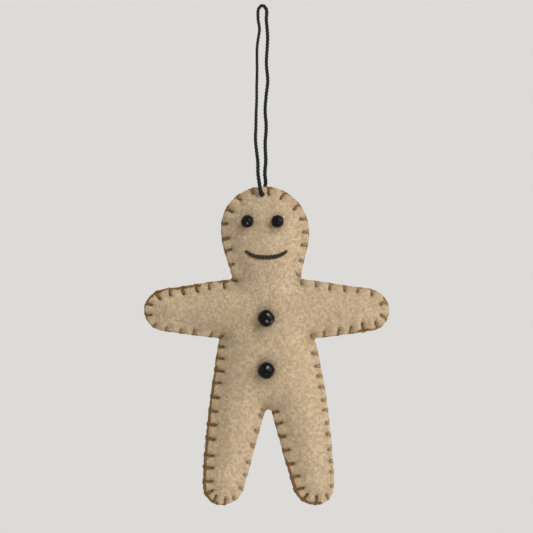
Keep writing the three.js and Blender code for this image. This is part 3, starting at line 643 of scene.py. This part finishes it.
def ply_section(plies, swell):
    """The outline of plies twisted together, with a radius of 1. Swell is how far out each ply's middle
    lies."""
    line = bpy.data.curves.new("ply_section", "CURVE")
    line.dimensions = "2D"
    points = PLY_POINTS * plies
    spline = line.splines.new("POLY")
    spline.points.add(points - 1)
    spline.use_cyclic_u = True
    for order, point in enumerate(spline.points):
        angle = 2 * math.pi * order / points
        off = (angle * plies / (2 * math.pi) + 0.5) % 1 - 0.5
        off *= 2 * math.pi / plies
        reach = (1 - swell) ** 2 - (swell * math.sin(off)) ** 2
        radius = swell * math.cos(off) + math.sqrt(max(reach, 0))
        point.co = (radius * math.cos(angle), radius * math.sin(angle), 0, 1)
    return link("ply_section", line)


def twisted(name, route, radii, plies, pitch, step, swell=0.46):
    """A yarn or cord of twisted plies along a route, as one closed mesh."""
    length = np.linalg.norm(np.diff(route, axis=0), axis=1).sum()
    count = int(length / step)
    dense = spaced(np.column_stack((route, radii)) if np.ndim(radii) else route, count)
    line = bpy.data.curves.new(name, "CURVE")
    line.dimensions = "3D"
    line.twist_mode = "MINIMUM"
    line.use_fill_caps = True
    line.bevel_mode = "OBJECT"
    section = ply_section(plies, swell)
    line.bevel_object = section
    spline = line.splines.new("POLY")
    spline.points.add(count)
    for order, point in enumerate(spline.points):
        point.co = (*dense[order][:3], 1)
        point.radius = dense[order][3] if np.ndim(radii) else radii
        point.tilt = 2 * math.pi * order * length / count / pitch
    holder = link(name + "_line", line)
    made = holder.evaluated_get(bpy.context.evaluated_depsgraph_get())
    mesh = bpy.data.meshes.new_from_object(made)
    for spare in (holder, section):
        bpy.data.objects.remove(spare)
    shape = opened(mesh)
    bmesh.ops.remove_doubles(shape, verts=shape.verts, dist=1e-7)
    bmesh.ops.recalc_face_normals(shape, faces=shape.faces)
    shade_smooth(closed(shape, mesh))
    return link(name, mesh)


def yarn_material(name, deep, pale, sheen, shadow=None, nap_and_light_tone=None):
    """Fibres from a deep to a pale tone, painted shade where the yarn goes in, paler where felt covers it and
    by painted light.
    """
    material, tree, surface = nodes_of(name)
    place = put(tree, "ShaderNodeTexCoord").outputs["Object"]
    fine = fibres_in(tree, place, 6500)
    share = times(tree, fine.outputs["Fibres"], fine.outputs["Clouds"])
    shade = blend(tree, share, colour(deep), colour(pale))
    for mark, tone in (("sunk", shadow), ("nap_and_light_pale", nap_and_light_tone)):
        if tone:
            shade = blend(tree, marked(tree, mark), shade, colour(tone))
    tree.links.new(shade, surface.inputs["Base Color"])
    fuzz(tree, surface, fine.outputs["Fibres"], strength=0.5, distance=0.0001)
    surface.inputs["Roughness"].default_value = 0.8
    surface.inputs["Specular IOR Level"].default_value = 0.25
    surface.inputs["Sheen Weight"].default_value = sheen
    surface.inputs["Sheen Roughness"].default_value = 0.5
    return material


def smile_route():
    route, radii = [], []
    for share in np.linspace(-SMILE_OVERRUN, SMILE_OVERRUN, SMILE_STEPS):
        place, normal = on_felt(FIGURE_X + share * SMILE_WIDTH / 2, FIGURE_TOP - smile_depth(share))
        radius = (SMILE_YARN + (SMILE_END_YARN - SMILE_YARN) * min(1, share ** 4)) / 2
        sink = max(0, abs(share) - DIVE_START) * SMILE_DIVE
        route.append(place + normal * (SMILE_SEAT * radius - sink))
        radii.append(radius)
    return np.array(route), np.array(radii)


smile = twisted("smile_yarn", *smile_route(), plies=3, pitch=0.0032, step=0.0002)
smile.data.materials.append(yarn_material("smile_yarn", "#271f15", "#564830", 0.1))
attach(smile, "figure")
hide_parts("smile_thread")

# Beads: faceted black glass, two for the eyes and two larger ones for the buttons. Each is pressed in
# a mould round a wire, which leaves the bore, and fire polished, which rounds the facets' edges.
EYE = {"round": 0.00228, "half": 0.002, "table": 0.00115,
       "shoulders": [(0.00174, 0.0015), (0.00207, 0.0008)]}
BUTTON = {"round": 0.003, "half": 0.0026, "table": 0.0015,
          "shoulders": [(0.00235, 0.00197), (0.00281, 0.001)]}
BEAD_FACETS, FACET_ROUNDING = 12, 0.00015
BEAD_TURNS = {"left_eye": 0.108, "right_eye": 0.108, "upper_button": 0.054, "lower_button": -0.206}
BEAD_BORE, BORE_RIM = 0.00055, 1.2
BEAD_THREAD, BEAD_THREAD_SLANT = 0.0003, 0.0009
BEAD_SEAT, BEAD_END_GAP = 0.0003, 0.0001


def jet_glass():
    material, tree, surface = nodes_of("jet_glass")
    place = put(tree, "ShaderNodeTexCoord").outputs["Object"]
    smear = put(tree, "ShaderNodeTexNoise", {"Vector": place, "Scale": 900.0, "Detail": 3.0})
    rough = put(tree, "ShaderNodeMapRange", {"Value": smear.outputs["Fac"], "From Min": 0.3, "From Max": 0.75,
                                             "To Min": 0.03, "To Max": 0.15})
    tree.links.new(rough.outputs[0], surface.inputs["Roughness"])
    tree.links.new(blend(tree, smear.outputs["Fac"], colour("#050506"), colour("#0c0b0d")),
                   surface.inputs["Base Color"])
    surface.inputs["IOR"].default_value = 1.5
    surface.inputs["Specular IOR Level"].default_value = 0.12
    return material


def bead_frame(bead):
    """Where a bead sits: X along its bore and Y away from the felt."""
    joint = bead_joints[bead]
    along = Vector(joint["axis"]).normalized()
    out = Vector((0, -1, 0))
    out = (out - along * out.dot(along)).normalized()
    turn = Matrix((along, out, along.cross(out))).transposed().to_4x4()
    return Matrix.Translation(Vector(joint["pos_m"])) @ turn


glass = jet_glass()
bead_yarn = yarn_material("bead_thread", "#1d1811", "#4a3d28", 0.1)
for bead in BEADS:
    cut = EYE if "eye" in bead else BUTTON
    near = [(BEAD_BORE, cut["half"]), (cut["table"], cut["half"]), *cut["shoulders"]]
    profile = [(radius, -along) for radius, along in near] + [(cut["round"], 0)]
    profile += [(radius, along) for radius, along in reversed(near)]
    shape = bmesh.new()
    ring = [shape.verts.new((along, 0, radius)) for radius, along in profile]
    edges = [shape.edges.new(pair) for pair in zip(ring, ring[1:] + ring[:1])]
    bmesh.ops.spin(shape, geom=ring + edges, cent=(0, 0, 0), axis=(1, 0, 0), angle=2 * math.pi,
                   steps=BEAD_FACETS, use_merge=True)
    bmesh.ops.remove_doubles(shape, verts=shape.verts, dist=1e-7)
    bmesh.ops.recalc_face_normals(shape, faces=shape.faces)
    outer = [edge for edge in shape.edges
             if min(vert.co.yz.length for vert in edge.verts) > BORE_RIM * BEAD_BORE]
    rounded = bmesh.ops.bevel(shape, geom=outer, offset=FACET_ROUNDING, offset_type="OFFSET", affect="EDGES",
                              segments=2, profile=0.5, material=-1, clamp_overlap=True)
    for face in rounded["faces"]:
        face.smooth = True
    turned = bead_frame(bead) @ Matrix.Rotation(BEAD_TURNS[bead], 4, "X")
    bmesh.ops.transform(shape, matrix=turned, verts=shape.verts)
    mesh = closed(shape, bpy.data.meshes.new(bead + "_glass"))
    mesh.materials.append(glass)
    piece = link(bead + "_glass", mesh)
    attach(piece, bead)
    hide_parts(bead + "_bead")

    post = cut["half"] + BEAD_END_GAP + BEAD_THREAD / 2
    foot = post - BEAD_THREAD_SLANT
    felt_level = -cut["round"] - BEAD_SEAT
    side = [(foot, felt_level - FELT_THICKNESS), (foot, felt_level + BEAD_SEAT), (post, -cut["table"]),
            (post, -BEAD_BORE), (post - BEAD_BORE, 0)]
    route = [(-x, y, 0) for x, y in side] + [(x, y, 0) for x, y in reversed(side)]
    route = np.array([bead_frame(bead) @ Vector(point) for point in route])
    thread = twisted(bead + "_tie", route, BEAD_THREAD / 2, plies=2, pitch=0.0012, step=0.0001, swell=0.4)
    thread.data.materials.append(bead_yarn)
    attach(thread, "figure")
    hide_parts(bead + "_thread")

# Filling: soft white polyester fibre, pushed in as one wad to each limb, one to the head and one to
# the body. It swells the felt and is shut in by the seam.
FILLING_VOXEL, TUFT_FINENESS, TUFT_DEPTH = 0.0008, 500, 0.00035


def fibre_filling():
    material, tree, surface = nodes_of("fibre_filling")
    place = put(tree, "ShaderNodeTexCoord").outputs["Object"]
    fine = fibres_in(tree, place, 1800)
    tree.links.new(blend(tree, fine.outputs["Clouds"], colour("#d6d1c6"), colour("#f1eee6")),
                   surface.inputs["Base Color"])
    fuzz(tree, surface, fine.outputs["Fibres"], strength=0.8, distance=0.0004)
    surface.inputs["Roughness"].default_value = 0.9
    surface.inputs["Sheen Weight"].default_value = 0.3
    return material


filling = fibre_filling()
for part in STUFFED:
    shape = opened(frame["nodes"][part + "_stuffing"].data)
    bmesh.ops.remove_doubles(shape, verts=shape.verts, dist=1e-6)
    mesh = closed(shape, bpy.data.meshes.new(part + "_filling"))
    wad = evenly(link(part + "_filling", mesh), FILLING_VOXEL)
    wad.data.materials.clear()
    wad.data.materials.append(filling)
    shape = opened(wad.data)
    soften(shape, 1)
    for vert in shape.verts:
        tufts = 0.5 + 0.5 * noise.fractal(vert.co * TUFT_FINENESS, 1.0, 2.0, 3)
        vert.co = vert.co - vert.normal * TUFT_DEPTH * min(1, max(0, tufts))
    shade_smooth(closed(shape, wad.data))
    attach(wad, "figure")
    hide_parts(part + "_stuffing")

# Blanket stitch: one golden brown embroidery thread sewn all round the rim. It runs along the edge,
# comes over the front at each stitch, goes through both panels and comes back over the rear edge.
STITCH_THREAD, SUNK_WIDTH = 0.00118, 0.0007
# How far from a stitch the thread leaves its run along the rim, turns up and reaches the rim's corner.
RUN_END, TURN_START, TURN_END, RIM_CORNER = 0.0012, 0.0005, 0.0002, 0.0003
OVER_SINK = 0.0001
# How high the thread's middle lies over the felt, then beside its hole, and how deep it is in the hole.
LIE_HIGH, LIE_LOW, HOLE_DEPTH, HOLE_LEAD = 0.0002, 0.0001, 0.0004, 0.0004


def stitch_route():
    route = []

    def beside(order, depth, along):
        return rim[order] + rim_inward[order] * depth + rim_ahead[order] * along

    def add(order, depth, along, y):
        x, z = beside(order, depth, along)
        route.append((x, y, z))

    def seat(order, depth, along, above, facing):
        x, z = beside(order, depth, along)
        route.append((x, on_felt(x, z, facing)[0].y + facing * above, z))

    for turn, stitch in enumerate(sewn):
        at, leg, slant, sway, sink = (stitch[key] for key in ("order", "leg", "slant", "sway", "sink"))
        over_felt = [(RIM_CORNER, 0, LIE_HIGH), (leg / 2, slant / 2, LIE_HIGH),
                     (leg - HOLE_LEAD, slant, LIE_LOW), (leg, slant, -HOLE_DEPTH)]
        if turn:
            last = sewn[turn - 1]
            add((last["order"] + at) // 2, (last["sink"] + sink) / 2, 0, (last["sway"] + sway) / 2)
        add(at, sink, -RUN_END, sway)
        add(at, OVER_SINK, -TURN_START, (sway - RIM_FACE) / 2)
        add(at, OVER_SINK, -TURN_END, -RIM_FACE + RIM_CORNER)
        for place in over_felt:
            seat(at, *place, facing=-1)
        add(at, leg, slant, 0)
        for place in reversed(over_felt):
            seat(at, *place, facing=1)
        add(at, OVER_SINK, TURN_END, RIM_FACE - RIM_CORNER)
        add(at, OVER_SINK, TURN_START, (sway + RIM_FACE) / 2)
        add(at, sink, RUN_END, sway)
    add(len(rim) - RIM_STEPS, RIM_SINK, 0, sewn[-1]["sway"])
    return np.array(route)


stitches = twisted("blanket_stitch", stitch_route(), STITCH_THREAD / 2, plies=2, pitch=0.0024, step=0.00022,
                   swell=0.36)
# The thread is paler where felt covers it and where painted light falls on right-hand edges.
for name in ("sunk", "nap_and_light_pale"):
    stitches.data.attributes.new(name, "FLOAT", "POINT")
sunk, nap_and_light_pale = (stitches.data.attributes[name].data for name in ("sunk", "nap_and_light_pale"))
# Painted shade on the thread where it goes into its needle hole.
for order, vert in enumerate(stitches.data.vertices):
    _, turn, away = needle_tree.find((vert.co.x, 0, vert.co.z))
    sunk[order].value = bell(away, SUNK_WIDTH)
    nap_and_light_pale[order].value = sewn[turn]["nap_and_light"]
stitches.data.materials.append(yarn_material("stitch_thread", "#5c421e", "#a57d48", 0.1, shadow="#38270f",
                                             nap_and_light_tone="#b39c78"))
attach(stitches, "figure")
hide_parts("blanket_stitch_thread")

# Hanging cord: a soft black cotton cord of three plies. It goes through the head just under the top
# edge, makes one long loop and is knotted behind the head.
CORD_DIAMETER, CORD_SLACK = 0.0011, 1.4
# The strands waver a little, except near the hole and at the top.
CORD_WAVER, CORD_WAVES, CORD_CALM = 0.0004, 0.068, 0.006
# It is squashed wider where it leaves the hole, and drawn thinner up the loop, most on the left.
HOLE_SWELL, HOLE_REACH = 0.35, 0.0022
CORD_THIN, THIN_RISE, THIN_SPAN, STRAND_GAP = 0.3, 0.045, 0.034, 0.001
# Its route: mm across, the share of STRAND_LIFT forward or back, and mm up from the hole. The points are
# the CAD's, apart from the first, which lies in the knot, and the two beside the squarer top of the loop.
STRAND_LIFT = 0.0040673
CORD_ROUTE = [
    (0, 1.1, 0), (0, 0, 0), (-0.1, -0.55, 0), (-0.5, -0.9, 0.7), (-0.85, -1, 2), (-1.15, -1, 4.6),
    (-1.5, -1, 9), (-1.8, -0.9, 13), (-2.3, -0.75, 18.6), (-2.3, -0.6, 24), (-2.1, -0.5, 31),
    (-2, -0.35, 37), (-1.9, -0.25, 43), (-1.7, -0.15, 52), (-1.2, -0.1, 57.7), (-1.45, 0, 61.6),
    (-1.35, 0, 65.1), (0, 0, 66.3), (1.3, 0, 65.1), (1.5, 0, 61.6), (1.6, 0.1, 57.5), (1.75, 0.15, 52),
    (1.4, 0.25, 47.5), (1.9, 0.35, 42), (1.6, 0.45, 37), (1, 0.6, 32), (1.1, 0.7, 26), (1, 0.85, 19),
    (1.1, 1, 12), (1.05, 1, 7), (0.95, 1.05, 4), (0.3, 1.1, 1.5),
]


def smoothly(points, steps=12):
    """A smooth curve through every point, with its speed eased where the points lie close."""
    points = np.vstack((2 * points[0] - points[1], points, 2 * points[-1] - points[-2]))
    line = []
    for a, b, c, d in zip(points, points[1:], points[2:], points[3:]):
        gaps = [max(np.linalg.norm(q - p), 1e-9) ** 0.5 for p, q in ((a, b), (b, c), (c, d))]
        knots = np.cumsum([0] + gaps)
        for at in np.linspace(knots[1], knots[2], steps, endpoint=False):
            def between(p, q, low, high):
                return ((knots[high] - at) * p + (at - knots[low]) * q) / (knots[high] - knots[low])
            low, middle, high = between(a, b, 0, 1), between(b, c, 1, 2), between(c, d, 2, 3)
            line.append(between(between(low, middle, 0, 2), between(middle, high, 1, 3), 1, 2))
    line.append(points[-2])
    return np.array(line)


cord_route = smoothly(np.array([(x / 1000, share * STRAND_LIFT, rise / 1000 + CORD_HOLE.z)
                                for x, share, rise in CORD_ROUTE]))
cord_rise = cord_route[:, 2] - CORD_HOLE.z
waver = np.array([noise.noise((order * CORD_WAVES, 0, 0)) for order in range(len(cord_route))])
calm = np.clip(np.minimum(cord_rise, -CORD_HOLE.z - cord_rise) / CORD_CALM, 0, 1)
cord_route[:, 0] += CORD_WAVER * waver * calm
cotton = yarn_material("black_cotton", "#0d0e0c", "#242620", 0.08)
cord_exit = np.array((CORD_ROUTE[2][0] / 1000, CORD_ROUTE[2][1] * STRAND_LIFT, CORD_HOLE.z))
from_hole = np.linalg.norm(cord_route - cord_exit, axis=1)
cord_radii = CORD_SLACK * CORD_DIAMETER / 2 * (1 + HOLE_SWELL * np.exp(-((from_hole / HOLE_REACH) ** 2)))
on_left = (3 - np.tanh(cord_route[:, 0] / STRAND_GAP)) / 4
cord_radii *= 1 - CORD_THIN * on_left * np.exp(-(((cord_rise - THIN_RISE) / THIN_SPAN) ** 2))
cord = twisted("loop_cord", cord_route, cord_radii, plies=3, pitch=0.0036, step=0.00025)
cord.data.materials.append(cotton)
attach(cord, "hanger")
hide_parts("hanging_cord")

# Knot: the two ends of the cord, tied in one overhand knot behind the head and cut short.
KNOT_CENTRE = (0, 0.0049673, -0.0663)
KNOT_SIZE, KNOT_THICKNESS, KNOT_GAP = 0.00042, 1.1, 0.55
KNOT_STEPS, KNOT_STRIDE = 90, 6
KNOT_TAIL = (0.0016, 0.0077, -0.0675)


def knot_route():
    """A trefoil, open at the side where its two tails stand out."""
    turns = np.linspace(KNOT_GAP, 2 * math.pi - KNOT_GAP, KNOT_STEPS)
    across = np.sin(turns) + 2 * np.sin(2 * turns)
    out = -KNOT_THICKNESS * np.sin(3 * turns)
    up = np.cos(turns) - 2 * np.cos(2 * turns)
    loops = np.column_stack((across, out, up)) * KNOT_SIZE + KNOT_CENTRE
    first, last = (np.array(KNOT_TAIL) * (side, 1, 1) for side in (1, -1))
    return smoothly(np.vstack((first, loops[::KNOT_STRIDE], last)))


knot = twisted("cord_tie", knot_route(), CORD_DIAMETER / 2, plies=3, pitch=0.0034, step=0.00025)
knot.data.materials.append(cotton)
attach(knot, "hanger")
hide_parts("cord_knot")

# Studio: a pale floor far below that fades into a pale backdrop, and a large soft lamp above and to the
# right of the camera. Weaker lamps stand on the left, low on the right and behind, two small ones
# glint in the beads, and even light comes from all round.
FLOOR_LEVEL, FLOOR_RADIUS, FLOOR_SIDES, FLOOR_FADE = -0.5, 0.6, 96, 0.6
SOFT_LIGHT = 0.34
PALE = colour("#dcdbd8")
# Name, place from the middle of the view, size and power.
LAMPS = [
    ("key", (0.72, -0.62, 0.4), 0.95, 8.7),
    ("fill", (-0.6, -0.5, 0.0), 0.5, 0.4),
    ("side", (0.45, 0.03, -0.3), 0.3, 0.75),
    ("rear", (-0.4, 0.6, 0.4), 0.5, 5.5),
    ("high", (0.2, -0.4, 0.447), 0.12, 0.9),
    ("low", (0.083, -0.417, -0.375), 0.12, 0.6),
]

shape = bmesh.new()
bmesh.ops.create_circle(shape, cap_ends=True, segments=FLOOR_SIDES, radius=FLOOR_RADIUS,
                        matrix=Matrix.Translation((0, 0, FLOOR_LEVEL)))
floor = link("floor", closed(shape, bpy.data.meshes.new("floor")))
material, tree, surface = nodes_of("pale_floor")
place = put(tree, "ShaderNodeTexCoord").outputs["Object"]
flat = put(tree, "ShaderNodeMapping", {"Vector": place, "Scale": (1 / FLOOR_RADIUS, 1 / FLOOR_RADIUS, 0)})
fade = put(tree, "ShaderNodeTexGradient", {"Vector": flat.outputs[0]}, gradient_type="SPHERICAL")
fade = put(tree, "ShaderNodeMapRange", {"Value": fade.outputs["Fac"], "From Max": FLOOR_FADE},
           interpolation_type="SMOOTHSTEP")
surface.inputs["Base Color"].default_value = PALE
surface.inputs["Roughness"].default_value = 0.9
below = put(tree, "ShaderNodeNewGeometry").outputs["Backfacing"]
fade = put(tree, "ShaderNodeMath", {0: fade.outputs[0], 1: below}, operation="SUBTRACT", use_clamp=True)
tree.links.new(fade.outputs[0], surface.inputs["Alpha"])
floor.data.materials.append(material)

for name, place, size, power in LAMPS:
    lamp = bpy.data.objects.new(name, bpy.data.lights.new(name, "AREA"))
    lamp.data.shape = "SQUARE"
    lamp.data.size = size
    lamp.data.energy = power
    lamp.location = VIEW_CENTRE + Vector(place)
    lamp.rotation_euler = (-Vector(place)).to_track_quat("-Z", "Y").to_euler()
    scene.collection.objects.link(lamp)

world = bpy.data.worlds.new("studio")
world.use_nodes = True
scene.world = world
tree = world.node_tree
tree.nodes.clear()
soft = put(tree, "ShaderNodeBackground", {"Color": (1, 1, 1, 1), "Strength": SOFT_LIGHT})
seen = put(tree, "ShaderNodeBackground", {"Color": PALE, "Strength": 1.0})
path = put(tree, "ShaderNodeLightPath").outputs
direct = path["Is Camera Ray"]
for ray in ("Is Glossy Ray", "Is Transmission Ray"):
    direct = put(tree, "ShaderNodeMath", {0: direct, 1: path[ray]}, operation="MAXIMUM").outputs[0]
mixed = put(tree, "ShaderNodeMixShader", {0: direct, 1: soft.outputs[0], 2: seen.outputs[0]})
put(tree, "ShaderNodeOutputWorld", {"Surface": mixed.outputs[0]})
scene.view_settings.view_transform = "Standard"
